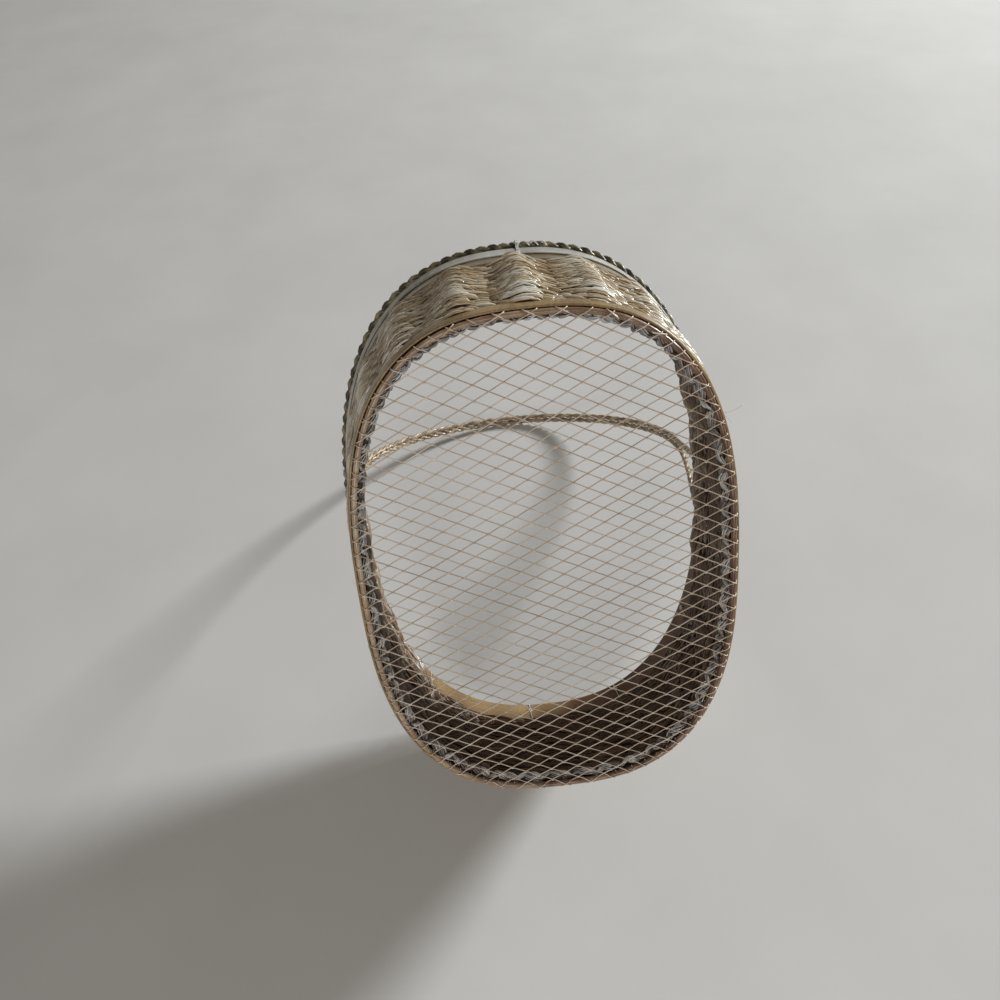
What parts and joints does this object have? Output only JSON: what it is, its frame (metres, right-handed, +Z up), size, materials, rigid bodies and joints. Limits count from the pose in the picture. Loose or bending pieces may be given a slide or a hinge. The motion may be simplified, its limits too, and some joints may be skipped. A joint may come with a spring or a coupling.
{
  "type": "harvest basket",
  "caption": "Oval harvest basket with a woven straw wall on stakes, a diamond wire mesh bottom, a roped rim and a fixed arched cord handle, for gathering and carrying.",
  "frame": {"origin": "on the ground under the middle of the base ring", "axes": "+Z up through the mouth, +Y along the basket's length, +X across its width and along the handle's arch"},
  "size_m": [0.2276, 0.2834, 0.3148],
  "materials": {
    "rattan": "reddish-brown varnished rod",
    "mesh_wire": "pale cream-coated thin wire",
    "cane": "golden-brown flat cane, satin",
    "pale_cane": "pale glossy cane peel",
    "straw": "glossy golden straw, woven",
    "grey_straw": "shiny grey-brown straw",
    "rope": "dark olive-brown twisted rope",
    "cord": "golden-brown twisted cord",
    "core_wire": "plain steel wire"
  },
  "bodies": {
    "root": {"base_ring": "rattan", "wire_mesh": "mesh_wire", "base_band": "cane", "base_lashing": "grey_straw", "woven_wall": "straw", "rim_outer_hoop": "cane", "rim_inner_hoop": "cane", "rim_trim": "pale_cane", "rim_rope": "rope", "handle_core_front": "core_wire", "handle_core_back": "core_wire", "handle_cord_front": "cord", "handle_cord_back": "cord", "stake_01": "rattan", "stake_02": "rattan", "stake_03": "rattan", "stake_04": "rattan", "stake_05": "rattan", "stake_06": "rattan", "stake_07": "rattan", "stake_08": "rattan", "stake_09": "rattan", "stake_10": "rattan", "stake_11": "rattan", "stake_12": "rattan", "stake_13": "rattan", "stake_14": "rattan", "stake_15": "rattan", "stake_16": "rattan", "stake_17": "rattan", "stake_18": "rattan", "stake_19": "rattan", "stake_20": "rattan", "stake_21": "rattan", "stake_22": "rattan", "stake_23": "rattan", "stake_24": "rattan"}
  },
  "joints": []
}
